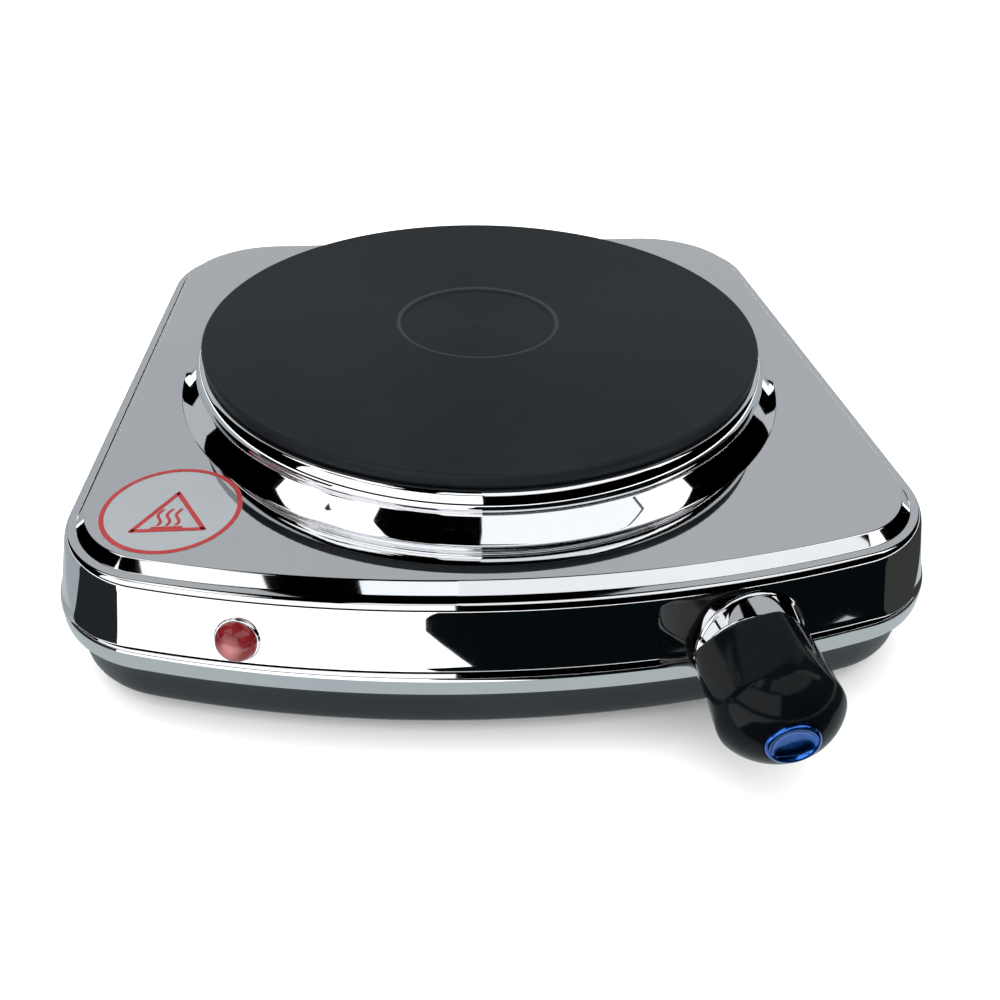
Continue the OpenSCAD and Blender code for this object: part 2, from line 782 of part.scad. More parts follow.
// point on a smooth curve through p, at share t of the span after point i
function spline_pt(p, i, t) =
    let (a = clamp_index(p, i - 1), b = p[i], c = p[i + 1], d = clamp_index(p, i + 2))
    0.5 * (2 * b + (c - a) * t + (2 * a - 5 * b + 4 * c - d) * t * t + (3 * b - a - 3 * c + d) * t * t * t);

function spline(p) = concat(
    [for (i = [0:len(p) - 2]) for (k = [0:lead_steps - 1]) spline_pt(p, i, k / lead_steps)],
    [p[len(p) - 1]]);

function unit(v) = v / norm(v);

function tangents(c) = [for (i = [0:len(c) - 1])
    unit(clamp_index(c, i + 1) - clamp_index(c, i - 1))];

// side vectors carried along the curve without twisting
function carried(t, sides, i) = i == len(t) ? sides
    : let (s = sides[i - 1] - (sides[i - 1] * t[i]) * t[i]) carried(t, concat(sides, [unit(s)]), i + 1);

module lead(p, r) {
    c = spline(p);
    t = tangents(c);
    first = unit(cross(t[0], abs(t[0].z) > 0.9 ? [1, 0, 0] : [0, 0, 1]));
    s = carried(t, [first], 1);
    n = lead_sides;
    last = len(c) - 1;
    points = [for (i = [0:last]) for (k = [0:n - 1]) let (a = k * 360 / n)
        c[i] + r * (cos(a) * s[i] + sin(a) * cross(t[i], s[i]))];
    quads = [for (i = [0:last - 1]) for (k = [0:n - 1]) let (m = (k + 1) % n)
        [i * n + k, (i + 1) * n + k, (i + 1) * n + m, i * n + m]];
    polyhedron(points, concat([[for (k = [0:n - 1]) k]], quads, [[for (k = [n - 1:-1:0]) last * n + k]]));
}

block_front_y = block_y - block_l / 2;
lead_floor_z = pan_z + pan_t + lead_r + 2;
stack_x = knob_x + rivet_x - blade_tail;

module live_lead() {
    color("#7a3b1c") at_plate() lead([
        [block_x - block_pitch, block_front_y, block_wire_z],
        [block_x - block_pitch, block_front_y - 12, block_wire_z],
        [block_x - 2, block_front_y - 45, lead_floor_z],
        [block_x + 22, block_front_y - 95, lead_floor_z],
        [stack_x - 34, contact_y + 14, lead_floor_z + 3],
        [stack_x - 16, contact_y + 3, control_z - 2],
        [stack_x, contact_y + blade_t / 2, control_z]], lead_r);
}

module switched_lead() {
    color("#8a1f1f") at_plate() lead([
        [stack_x, adjusting_y + blade_t / 2 - 2, control_z - 1],
        [stack_x - 9, adjusting_y + 3, control_z - 5],
        [stack_x - 14, adjusting_y + 26, lead_floor_z + 4],
        [stack_x - 6, -25, lead_floor_z],
        [terminal_pitch + 12, 20, lead_floor_z + 1],
        [terminal_pitch + 1, terminal_y - 8, lead_floor_z + 3],
        [terminal_pitch, terminal_y, terminal_pin_z - 8],
        [terminal_pitch, terminal_y, terminal_pin_z - 4],
        [terminal_pitch, terminal_y, terminal_pin_z]], lead_r);
}

module neutral_lead() {
    color("#2a4f9c") at_plate() lead([
        [block_x, block_front_y, block_wire_z],
        [block_x, block_front_y - 9, block_wire_z],
        [block_x + 16, block_front_y - 18, lead_floor_z + 1],
        [-terminal_pitch - 8, terminal_y - 16, lead_floor_z + 2],
        [-terminal_pitch, terminal_y, terminal_pin_z - 9],
        [-terminal_pitch, terminal_y, terminal_pin_z - 4],
        [-terminal_pitch, terminal_y, terminal_pin_z]], lead_r);
}

module earth_lead() {
    color("#6f9c2a") at_plate() {
        lead([
            [block_x + block_pitch, block_front_y, block_wire_z],
            [block_x + block_pitch, block_front_y - 7, block_wire_z],
            [block_x + block_pitch + 14, block_front_y - 9, lead_floor_z + 1],
            [earth_x - 22, earth_y - 8, lead_floor_z],
            [earth_x - 11, earth_y - 3, lead_floor_z - 1],
            [earth_x - earth_r - 2.6, earth_y, pan_z + pan_t + lead_r + 0.1]], lead_r);
        translate([earth_x, earth_y, pan_z + pan_t]) difference() {
            cylinder(r = earth_r + 2.4, h = earth_ring_t);
            translate([0, 0, -1]) cylinder(r = earth_r, h = earth_ring_t + 2);
        }
    }
}

// the two thin leads of the lamp, one from each end of its resistor
module lamp_leads() {
    r = lead_r / 2;
    tail = lamp_wall_y + lamp_barrel_len;
    color("#d9d9d9") at_plate() for (side = [-1, 1]) lead([
        [-lamp_x + 3 + side * 1.2, tail + 0.5, lamp_z - 2.2],
        [-lamp_x + 6 + side * 1.6, tail + 10, lamp_z - 6],
        [-lamp_x + 14 + side * 4, tail + 40, lead_floor_z + 4],
        [block_x + 2 + side * 5, block_front_y - 42, lead_floor_z + 4],
        [block_x - block_pitch / 2 + side * 5, block_front_y - 6, block_wire_z + 4],
        [block_x - block_pitch / 2 + side * 5, block_front_y, block_wire_z + 3.2]], r);
}

hotplate();
plate_stud();
heating_coils();
insulating_cement();
plate_cover();
plate_terminal_block();
plate_terminal_pins();
spill_ring();
housing();
base_pan();
corner_straps();
rubber_feet();
base_screws();
bridge_bracket();
heat_reflector();
stud_washer();
stud_nut();
knob();
knob_cap();
knob_clip();
thermostat_spindle();
thermostat_bush();
thermostat_frame();
thermostat_screws();
thermostat_rivet();
ceramic_spacers();
adjusting_blade();
contact_blade();
contact_points();
bimetal_strip();
lamp_lens();
lamp_bezel();
lamp_clip();
neon_lamp();
lamp_leads();
terminal_block();
terminal_clamps();
terminal_block_screws();
cord_gland();
earth_stud();
earth_nut();
live_lead();
switched_lead();
neutral_lead();
earth_lead();
caution_decal();
rating_plate();
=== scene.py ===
"""A single electric hot plate: cast iron plate, pressed steel body, thermostat knob and pilot lamp."""
import math

import bmesh
import bpy
from mathutils import Matrix, Vector


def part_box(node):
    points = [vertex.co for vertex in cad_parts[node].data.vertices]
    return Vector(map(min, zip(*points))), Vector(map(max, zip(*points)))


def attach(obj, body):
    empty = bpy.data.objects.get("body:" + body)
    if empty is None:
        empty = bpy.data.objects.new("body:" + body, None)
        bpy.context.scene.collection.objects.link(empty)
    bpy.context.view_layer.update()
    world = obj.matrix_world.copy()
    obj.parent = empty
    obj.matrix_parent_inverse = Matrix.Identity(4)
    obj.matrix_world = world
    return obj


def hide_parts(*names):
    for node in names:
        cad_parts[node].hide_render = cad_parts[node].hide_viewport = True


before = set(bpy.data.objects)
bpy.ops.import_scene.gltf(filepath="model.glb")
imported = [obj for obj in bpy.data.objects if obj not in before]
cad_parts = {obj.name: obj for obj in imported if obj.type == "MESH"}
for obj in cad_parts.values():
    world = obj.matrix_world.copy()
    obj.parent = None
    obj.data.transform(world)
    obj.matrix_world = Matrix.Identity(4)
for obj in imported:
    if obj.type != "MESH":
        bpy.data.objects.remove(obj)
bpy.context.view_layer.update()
mm = 0.001

# ------------------------------------------------------------------ camera
# A viewer standing close in front, a little to the left of the middle, who looks down on the plate.

eye = Vector((-0.0243, -0.2736, 0.2029))
down, heading, lean = math.radians(35.42), math.radians(2.66), math.radians(-0.26)
forward = Vector((math.sin(heading) * math.cos(down), math.cos(heading) * math.cos(down), -math.sin(down)))
level = Vector((math.cos(heading), -math.sin(heading), 0))
above = level.cross(forward)
right = level * math.cos(lean) + above * math.sin(lean)
up = above * math.cos(lean) - level * math.sin(lean)

camera = bpy.data.objects.new("camera", bpy.data.cameras.new("camera"))
bpy.context.scene.collection.objects.link(camera)
camera.data.lens = 32.98
camera.data.shift_x = 0.0539
camera.data.shift_y = -0.0205
camera.data.clip_start = 0.01
camera.matrix_world = Matrix.Translation(eye) @ Matrix((right, up, -forward)).transposed().to_4x4()
bpy.context.scene.camera = camera
bpy.context.scene.view_settings.view_transform = "Standard"

# ------------------------------------------------------------------ studio
# A pale tabletop under an even white sky, with one large soft lamp above. Screens stand round it and
# lie on it that only polished metal and plastic can show: white, grey, olive and black ones.


def studio_material(name, paint, glow=(0, 0, 0), strength=0.0):
    material = bpy.data.materials.new(name)
    material.use_nodes = True
    shader = material.node_tree.nodes["Principled BSDF"]
    shader.inputs["Base Color"].default_value = (*paint, 1)
    shader.inputs["Roughness"].default_value = 0.9
    shader.inputs["Specular IOR Level"].default_value = 0
    shader.inputs["Emission Color"].default_value = (*glow, 1)
    shader.inputs["Emission Strength"].default_value = strength
    return material


def new_piece(name, bm, materials):
    mesh = bpy.data.meshes.new(name)
    bm.to_mesh(mesh)
    bm.free()
    piece = bpy.data.objects.new(name, mesh)
    bpy.context.scene.collection.objects.link(piece)
    for material in materials:
        mesh.materials.append(material)
    return piece


tabletop_size = 4
bm = bmesh.new()
bmesh.ops.create_grid(bm, x_segments=8, y_segments=8, size=tabletop_size)
tabletop = new_piece("tabletop", bm, [studio_material("tabletop", (0.93, 0.925, 0.93))])


def only_reflected(screen):
    screen.visible_camera = False
    screen.visible_diffuse = False
    screen.visible_shadow = False
    screen.visible_transmission = False
    return screen


middle_height = 0.05


def sky_card(name, start, finish, low, high, level, tint=(1, 1, 1), distance=1.3):
    """A curved screen round the object, between two azimuths and two heights in degrees.

    Azimuth 0 is in front of the object, and it grows towards the object's right.
    """
    bm = bmesh.new()
    start, finish, low, high = (math.radians(a) for a in (start, finish, low, high))
    corner = bm.verts.new((0, -distance * math.cos(low), distance * math.sin(low)))
    bmesh.ops.spin(bm, geom=[corner], axis=(1, 0, 0), angle=low - high, steps=12)
    bmesh.ops.rotate(bm, verts=bm.verts, matrix=Matrix.Rotation(start, 3, "Z"))
    bmesh.ops.spin(bm, geom=bm.verts[:] + bm.edges[:], axis=(0, 0, 1), angle=finish - start, steps=32)
    bmesh.ops.translate(bm, verts=bm.verts, vec=(0, 0, middle_height))
    return only_reflected(new_piece(name, bm, [studio_material(name, (0, 0, 0), tint, level)]))


def table_card(name, corners, height, level=0.0, tint=(1, 1, 1)):
    """A screen that lies on the tabletop, given by its corners."""
    bm = bmesh.new()
    bmesh.ops.contextual_create(bm, geom=[bm.verts.new((x, y, height)) for x, y in corners])
    return only_reflected(new_piece(name, bm, [studio_material(name, (0.001, 0.002, 0.0025), tint, level)]))


near, far, side, behind = 0.12, 0.9, 0.165, 0.6
cool_grey, dark_olive, deep_blue = (0.92, 1, 1.05), (0.95, 1, 0.85), (0.9, 1, 1.1)
table_card("dark_front_card", ((0.039, -near), (-0.036, -0.255), (-0.09, -1.2), (far, -1.2), (far, -near)),
           0.4 * mm)
table_card("dark_left_card", ((-near, -0.105), (-0.75, -0.553), (-far, -0.04), (-near, -0.072)),
           0.4 * mm, 0.02, deep_blue)
table_card("olive_right_card", ((near, -0.105), (0.75, -0.37), (far, 0.02), (near, 0.02)),
           0.8 * mm, 0.045, dark_olive)
table_card("grey_left_card", ((-far, -0.04), (-far, behind), (-near, behind), (-near, -0.072)),
           0.6 * mm, 0.46, cool_grey)
table_card("grey_right_card", ((near, 0.02), (near, behind), (far, behind), (far, 0.02)),
           0.6 * mm, 0.46, cool_grey)
table_card("pale_near_card", ((-side, -0.160), (side, -0.160), (side, 0.18), (-side, 0.18)),
           1.2 * mm, 0.58, (0.90, 1.0, 1.02))
sky_card("grey_back_card", 118, 242, 6, 58, 0.53, (0.96, 1.0, 1.03))
sky_card("white_side_card", -88, -70, 34, 62, 1.5)
sky_card("white_left_card", -70, -51, 46, 62, 1.5)
sky_card("white_bevel_card", -56, -37, 38, 51.5, 1.4)
sky_card("white_middle_card", -20, -1, 38, 56, 1.3, (0.97, 1, 1.02))
sky_card("white_right_card", -1, 66, 34, 66, 1.15, (0.97, 1, 1.02))
sky_card("bright_right_card", 67, 84, 26, 66, 1.6)
sky_card("white_low_card", -70, -2, 5, 34, 1.5)

world = bpy.data.worlds.new("studio")
world.use_nodes = True
world.node_tree.nodes["Background"].inputs["Color"].default_value = (1.0, 1.0, 1.0, 1)
world.node_tree.nodes["Background"].inputs["Strength"].default_value = 1.85
world.cycles_visibility.glossy = False
bpy.context.scene.world = world

soft_box = bpy.data.objects.new("soft_box", bpy.data.lights.new("soft_box", "AREA"))
bpy.context.scene.collection.objects.link(soft_box)
soft_box.data.energy = 9
soft_box.data.shape = "RECTANGLE"
soft_box.data.size, soft_box.data.size_y = 1.2, 0.9
soft_box.location = (-0.25, 0.35, 1.4)
soft_box.rotation_euler = (Vector((0, 0, 0)) - soft_box.location).to_track_quat("-Z", "Y").to_euler()
soft_box.visible_glossy = False

# ------------------------------------------------------------------ pressed body
# One deep-drawn shell of stainless steel: a flat top, a stepped shoulder, a leaning wall and a flared
# lip at the bottom. All of it is polished to a mirror.

axis_low, axis_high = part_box("hotplate")
plate_x, plate_y = (axis_low.x + axis_high.x) / 2, (axis_low.y + axis_high.y) / 2
plate_top = axis_high.z
panel_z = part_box("housing")[1].z
half_width = 127 * mm
front_reach, back_reach = 126 * mm, 128 * mm
front_arc = 367 * mm
front_corner, back_corner = 38 * mm, 45 * mm
front_corner_x, back_corner_x = half_width - front_corner, half_width - back_corner
front_arc_y = plate_y + front_arc - front_reach
front_corner_y = front_arc_y - math.sqrt((front_arc - front_corner) ** 2 - front_corner_x ** 2)
back_corner_y = plate_y + back_reach - back_corner
front_turn = math.atan2(front_arc_y - front_corner_y, front_corner_x)


def body_outline(bm, height, side=1):
    """The body's outline at its lip as one flat face: five arcs joined by straight runs."""
    def run(v, step, count):
        for _ in range(count):
            grown = bmesh.ops.extrude_vert_indiv(bm, verts=[v])["verts"]
            bmesh.ops.translate(bm, verts=grown, vec=step / count)
            v = grown[0]
        return v

    def bend(v, x, y, turn, count):
        swept = bmesh.ops.spin(bm, geom=[v], cent=(x, y, height), axis=(0, 0, 1), angle=turn, steps=count)
        return [g for g in swept["geom_last"] if isinstance(g, bmesh.types.BMVert)][0]

    quarter = math.pi / 2
    corner_steps, back_steps, side_steps, front_steps = 26, 22, 18, 70
    first = bm.verts.new((half_width, back_corner_y, height))
    v = bend(first, back_corner_x, back_corner_y, quarter, corner_steps)
    v = run(v, Vector((-2 * back_corner_x, 0, 0)), back_steps)
    v = bend(v, -back_corner_x, back_corner_y, quarter, corner_steps)
    v = run(v, Vector((0, front_corner_y - back_corner_y, 0)), side_steps)
    v = bend(v, -front_corner_x, front_corner_y, front_turn, corner_steps)
    v = bend(v, 0, front_arc_y, math.pi - 2 * front_turn, front_steps)
    v = bend(v, front_corner_x, front_corner_y, front_turn, corner_steps)
    v = run(v, Vector((0, back_corner_y - front_corner_y, 0)), side_steps)
    bmesh.ops.remove_doubles(bm, verts=bm.verts, dist=1e-6)
    face = bmesh.ops.contextual_create(bm, geom=bm.edges[:])["faces"][0]
    if face.normal.z * side < 0:
        face.normal_flip()
    return face


def climb(bm, face, levels, inset, height, side=1):
    """Draws the outline in and up through a list of (inset, height) levels."""
    for next_inset, next_height in levels:
        bmesh.ops.inset_region(bm, faces=[face], thickness=next_inset - inset,
                               depth=(next_height - height) * side,
                               use_boundary=True, use_even_offset=True)
        inset, height = next_inset, next_height
    return inset, height


def arc_levels(start, finish, bulge, count):
    """Levels along a curve from start to finish that leaves towards the corner point bulge."""
    levels = []
    for i in range(1, count + 1):
        t = i / count
        levels.append(tuple((1 - t) ** 2 * a + 2 * t * (1 - t) * b + t * t * c
                            for a, b, c in zip(start, bulge, finish)))
    return levels


lip_edge = (0.0, 20.8)
lip_crown = (0.06, 24.9)
wall_foot = (0.9, 27.0)
wall_head = (4.9, 42.0)
ledge_outer = (7.3, 46.45)
bevel_foot = (9.1, 46.6)
bevel_head = (11.7, 49.02)
flat_edge = (12.2, 49.3)
crease_start = (bevel_foot[0] - 0.2, bevel_foot[1] - 0.02)
crease_end = (bevel_foot[0] + 0.15, bevel_foot[1] + 0.14)
well_radius = 95.4 * mm
wall_steps = 6
wall_levels = (
    [(0.0, 22.2), (0.0, 23.6), lip_crown]
    + arc_levels(lip_crown, wall_foot, (0.25, 26.4), 7)
    + [tuple(low + (high - low) * i / wall_steps for low, high in zip(wall_foot, wall_head))
       for i in range(1, wall_steps + 1)]
    + arc_levels(wall_head, ledge_outer, (5.9, 46.4), 12)
    + [crease_start]
    + arc_levels(crease_start, crease_end, bevel_foot, 3)
    + [bevel_head]
    + arc_levels(bevel_head, flat_edge, (12.0, 49.3), 4)
    + [(flat_edge[0] + 0.5, flat_edge[1])]
)
wall_levels = [(i * mm, h * mm) for i, h in wall_levels]


def wall_inset(height):
    """How far the drawn wall stands in from the lip at a height."""
    below = (lip_edge[0] * mm, lip_edge[1] * mm)
    for level in wall_levels:
        if height <= level[1]:
            share = (height - below[1]) / (level[1] - below[1])
            return below[0] + (level[0] - below[0]) * max(0, share)
        below = level
    return below[0]


bm = bmesh.new()
top_face = body_outline(bm, lip_edge[1] * mm)
climb(bm, top_face, wall_levels, lip_edge[0] * mm, lip_edge[1] * mm)
rim_edges = list(top_face.edges)
bmesh.ops.delete(bm, geom=[top_face], context="FACES_ONLY")
well = bmesh.ops.create_circle(bm, segments=len(rim_edges), radius=well_radius)["verts"]
bmesh.ops.translate(bm, verts=well, vec=(plate_x, plate_y, panel_z))
well_edges = list({e for v in well for e in v.link_edges})
bmesh.ops.triangle_fill(bm, use_beauty=True, edges=rim_edges + well_edges)
bmesh.ops.recalc_face_normals(bm, faces=bm.faces)
for face in bm.faces:
    face.smooth = True
pressed_body = new_piece("pressed_body", bm, [])


def thicken(piece, thickness, edge=0.0):
    """Gives sheet metal its thickness inwards and breaks its cut edges."""
    wall = piece.modifiers.new("sheet", "SOLIDIFY")
    wall.thickness = thickness
    wall.offset = -1
    wall.use_even_offset = True
    if edge:
        rim = piece.modifiers.new("broken_edges", "BEVEL")
        rim.width = edge
        rim.segments = 3
        rim.limit_method = "ANGLE"
        rim.angle_limit = math.radians(50)


body_sheet, cut_edge = 0.8 * mm, 0.25 * mm
thicken(pressed_body, body_sheet, cut_edge)


def grain_group():
    """Soft clouding of colour and gloss with a fine grain on top, on the piece's own coordinates."""
    group = bpy.data.node_groups.new("surface_grain", "ShaderNodeTree")
    mid_grey = (0.5, 0.5, 0.5, 1)
    sockets = (("Colour", "NodeSocketColor", mid_grey), ("Second Colour", "NodeSocketColor", mid_grey),
               ("Roughness", "NodeSocketFloat", 0.5), ("Roughness Spread", "NodeSocketFloat", 0.1),
               ("Cloud Scale", "NodeSocketFloat", 20.0), ("Grain Scale", "NodeSocketFloat", 600.0))
    for name, kind, value in sockets:
        group.interface.new_socket(name=name, in_out="INPUT", socket_type=kind).default_value = value
    for name, kind in (("Colour", "NodeSocketColor"), ("Roughness", "NodeSocketFloat"),
                       ("Height", "NodeSocketFloat")):
        group.interface.new_socket(name=name, in_out="OUTPUT", socket_type=kind)
    nodes, link = group.nodes, group.links.new
    given, result = nodes.new("NodeGroupInput"), nodes.new("NodeGroupOutput")
    place = nodes.new("ShaderNodeTexCoord")
    cloud, grain = nodes.new("ShaderNodeTexNoise"), nodes.new("ShaderNodeTexNoise")
    cloud.inputs["Detail"].default_value = 3
    grain.inputs["Detail"].default_value = 2
    link(place.outputs["Object"], cloud.inputs["Vector"])
    link(place.outputs["Object"], grain.inputs["Vector"])
    link(given.outputs["Cloud Scale"], cloud.inputs["Scale"])
    link(given.outputs["Grain Scale"], grain.inputs["Scale"])
    both = nodes.new("ShaderNodeMath")
    both.operation = "MULTIPLY_ADD"
    both.inputs[1].default_value = 0.35
    link(grain.outputs["Fac"], both.inputs[0])
    link(cloud.outputs["Fac"], both.inputs[2])
    share = nodes.new("ShaderNodeMapRange")
    share.inputs["From Min"].default_value = 0.45
    share.inputs["From Max"].default_value = 0.9
    link(both.outputs[0], share.inputs["Value"])
    blend = nodes.new("ShaderNodeMix")
    blend.data_type = "RGBA"
    link(share.outputs["Result"], blend.inputs["Factor"])
    link(given.outputs["Colour"], blend.inputs[6])
    link(given.outputs["Second Colour"], blend.inputs[7])
    swing = nodes.new("ShaderNodeMath")
    swing.operation = "MULTIPLY_ADD"
    link(share.outputs["Result"], swing.inputs[0])
    link(given.outputs["Roughness Spread"], swing.inputs[1])
    link(given.outputs["Roughness"], swing.inputs[2])
    link(blend.outputs[2], result.inputs["Colour"])
    link(swing.outputs[0], result.inputs["Roughness"])
    link(grain.outputs["Fac"], result.inputs["Height"])
    return group


surface_grain = grain_group()


def finish(name, colour, second, roughness, spread=0.08, cloud=20.0, grain=600.0,
           metallic=0.0, bump=0.0, coat=0.0):
    """A material whose colour, gloss and relief all come from the grain group."""
    material = bpy.data.materials.new(name)
    material.use_nodes = True
    nodes, link = material.node_tree.nodes, material.node_tree.links.new
    shader = nodes["Principled BSDF"]
    texture = nodes.new("ShaderNodeGroup")
    texture.node_tree = surface_grain
    texture.name = "grain"
    texture.inputs["Colour"].default_value = (*colour, 1)
    texture.inputs["Second Colour"].default_value = (*second, 1)
    texture.inputs["Roughness"].default_value = roughness
    texture.inputs["Roughness Spread"].default_value = spread
    texture.inputs["Cloud Scale"].default_value = cloud
    texture.inputs["Grain Scale"].default_value = grain
    link(texture.outputs["Colour"], shader.inputs["Base Color"])
    link(texture.outputs["Roughness"], shader.inputs["Roughness"])
    shader.inputs["Metallic"].default_value = metallic
    shader.inputs["Coat Weight"].default_value = coat
    shader.inputs["Coat Roughness"].default_value = 0.03
    if bump:
        relief = nodes.new("ShaderNodeBump")
        relief.name = "relief"
        relief.inputs["Strength"].default_value = 1.0
        relief.inputs["Distance"].default_value = bump
        link(texture.outputs["Height"], relief.inputs["Height"])
        link(relief.outputs["Normal"], shader.inputs["Normal"])
    return material


polished_steel = finish("polished_steel", (0.70, 0.715, 0.735), (0.75, 0.757, 0.77),
                        0.02, 0.03, 9, 300, metallic=1)
pressed_body.data.materials.append(polished_steel)
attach(pressed_body, "body")
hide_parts("housing")

# ------------------------------------------------------------------ knob boss
# The round boss behind the knob is drawn out of the wall, and runs into it with a small fillet. It
# carries the thermostat's bush, and it covers the lip below.

knob_low, knob_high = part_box("knob")
knob_x, knob_z = (knob_low.x + knob_high.x) / 2, 28 * mm
knob_back = knob_high.y
boss_radius, boss_fillet, boss_edge = 14.6 * mm, 1.0 * mm, 0.7 * mm
boss_face_y = knob_back + 0.4 * mm
boss_sheet, boss_draft, boss_tuck, bush_hole = 0.7 * mm, 0.25 * mm, 0.05 * mm, 4.6 * mm


def wall_y(x, z):
    """The front wall's surface at x and z, in front of the arc's centre."""
    inset = wall_inset(min(max(z, lip_edge[1] * mm), panel_z))
    return front_arc_y - math.sqrt((front_arc - inset) ** 2 - x ** 2)


bm = bmesh.new()
ring = bmesh.ops.create_circle(bm, segments=120, radius=1)["verts"]
angles = {v: math.atan2(v.co.y, v.co.x) for v in ring}


def boss_level(ring_verts, turn_of, radius, y_of):
    """Sets a ring of the boss to a radius, with each vertex at the depth that y_of gives."""
    for v in ring_verts:
        a = turn_of[v]
        x, z = knob_x + radius * math.cos(a), knob_z + radius * math.sin(a)
        v.co = (x, y_of(x, z), z)


def next_ring(bm, ring_verts, turn_of):
    """Extrudes the ring's open edge and carries each vertex's angle over."""
    members = set(ring_verts)
    edges = [e for e in bm.edges if e.verts[0] in members and e.verts[1] in members and len(e.link_faces) < 2]
    grown = bmesh.ops.extrude_edge_only(bm, edges=edges)["geom"]
    fresh = [g for g in grown if isinstance(g, bmesh.types.BMVert)]
    for v in fresh:
        nearest = min((e.other_vert(v) for e in v.link_edges if e.other_vert(v) in members),
                      key=lambda other: (other.co - v.co).length)
        turn_of[v] = turn_of[nearest]
    return fresh


boss_level(ring, angles, boss_radius + boss_fillet, lambda x, z: wall_y(x, z) + boss_tuck)
fillet_steps = 7
for i in range(1, fillet_steps + 1):
    phi = math.pi / 2 * i / fillet_steps
    ring = next_ring(bm, ring, angles)
    boss_level(ring, angles, boss_radius + boss_fillet * (1 - math.sin(phi)),
               lambda x, z: max(wall_y(x, z) - boss_fillet * (1 - math.cos(phi)), boss_face_y + boss_edge))
for i in range(0, fillet_steps + 1):
    phi = math.pi / 2 * i / fillet_steps
    ring = next_ring(bm, ring, angles)
    boss_level(ring, angles, boss_radius - boss_draft - boss_edge * (1 - math.cos(phi)),
               lambda x, z: boss_face_y + boss_edge * (1 - math.sin(phi)))
ring = next_ring(bm, ring, angles)
boss_level(ring, angles, bush_hole, lambda x, z: boss_face_y)
bmesh.ops.recalc_face_normals(bm, faces=bm.faces)
for face in bm.faces:
    face.smooth = True
knob_boss = new_piece("knob_boss", bm, [polished_steel])
thicken(knob_boss, boss_sheet)
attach(knob_boss, "body")

# ------------------------------------------------------------------ base pan
# A shallow enamelled steel pan closes the body from below. Its rim stands up inside the lip, and its
# floor has two rows of pressed vents.

pan_rim = (2.3, 18.35)
pan_levels = (
    arc_levels(pan_rim, (2.75, 17.3), (2.3, 17.45), 4)
    + [(2.9, 14.0), (3.05, 10.0)]
    + arc_levels((3.15, 8.4), (9.5, 4.0), (3.5, 4.1), 10)
)
pan_levels = [(i * mm, h * mm) for i, h in pan_levels]
bm = bmesh.new()
pan_face = body_outline(bm, pan_rim[1] * mm, side=-1)
climb(bm, pan_face, [(pan_rim[0] * mm, pan_rim[1] * mm)], 0, pan_rim[1] * mm, side=-1)
bmesh.ops.delete(bm, geom=[f for f in bm.faces if f is not pan_face], context="FACES")
climb(bm, pan_face, pan_levels, pan_rim[0] * mm, pan_rim[1] * mm, side=-1)
raised = bmesh.ops.extrude_edge_only(bm, edges=[e for e in bm.edges if e.is_boundary])["geom"]
raised = [g for g in raised if isinstance(g, bmesh.types.BMVert)]
rim_rise, rim_shrink = 2.2 * mm, 0.985
floor_border, floor_step, floor_step_depth = 9 * mm, 1.5 * mm, 0.8 * mm
bmesh.ops.translate(bm, verts=raised, vec=(0, 0, rim_rise))
bmesh.ops.scale(bm, verts=raised, vec=(rim_shrink, rim_shrink, 1), space=Matrix.Translation((0, -plate_y, 0)))
bmesh.ops.inset_region(bm, faces=[pan_face], thickness=floor_border, depth=0, use_even_offset=True)
bmesh.ops.inset_region(bm, faces=[pan_face], thickness=floor_step, depth=-floor_step_depth,
                       use_even_offset=True)
floor_z = pan_face.calc_center_median().z
floor_edges = list(pan_face.edges)
bmesh.ops.delete(bm, geom=[pan_face], context="FACES_ONLY")
vents, vent_pitch, vent_width, vent_length, vent_corners = 11, 9 * mm, 4 * mm, 28 * mm, 20
for row_y in (-35 * mm, 25 * mm):
    for i in range(vents):
        slot = bmesh.ops.create_circle(bm, segments=vent_corners, radius=vent_width / 2)["verts"]
        bmesh.ops.rotate(bm, verts=slot, matrix=Matrix.Rotation(math.pi / vent_corners, 3, "Z"))
        for v in slot:
            v.co.y += math.copysign((vent_length - vent_width) / 2, v.co.y)
        across = (i - (vents - 1) / 2) * vent_pitch
        bmesh.ops.translate(bm, verts=slot, vec=(across, plate_y + row_y, floor_z))
        floor_edges += list({e for v in slot for e in v.link_edges})
bmesh.ops.triangle_fill(bm, use_beauty=True, edges=floor_edges)
bmesh.ops.recalc_face_normals(bm, faces=bm.faces)
for face in bm.faces:
    face.smooth = True
black_enamel = finish("black_enamel", (0.005, 0.008, 0.009), (0.009, 0.012, 0.014),
                      0.26, 0.1, 30, 900, bump=0.02 * mm)
black_enamel.node_tree.nodes["Principled BSDF"].inputs["Specular IOR Level"].default_value = 0.3
lower_pan = new_piece("lower_pan", bm, [black_enamel])
pan_sheet, pan_edge = 0.9 * mm, 0.2 * mm
thicken(lower_pan, pan_sheet, pan_edge)
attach(lower_pan, "body")
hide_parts("base_pan")

# ------------------------------------------------------------------ spill ring
# A collar spun from thin steel and chromed: a full roll under the plate's rim, a crease, and a foot
# that flares out on to the body's top.


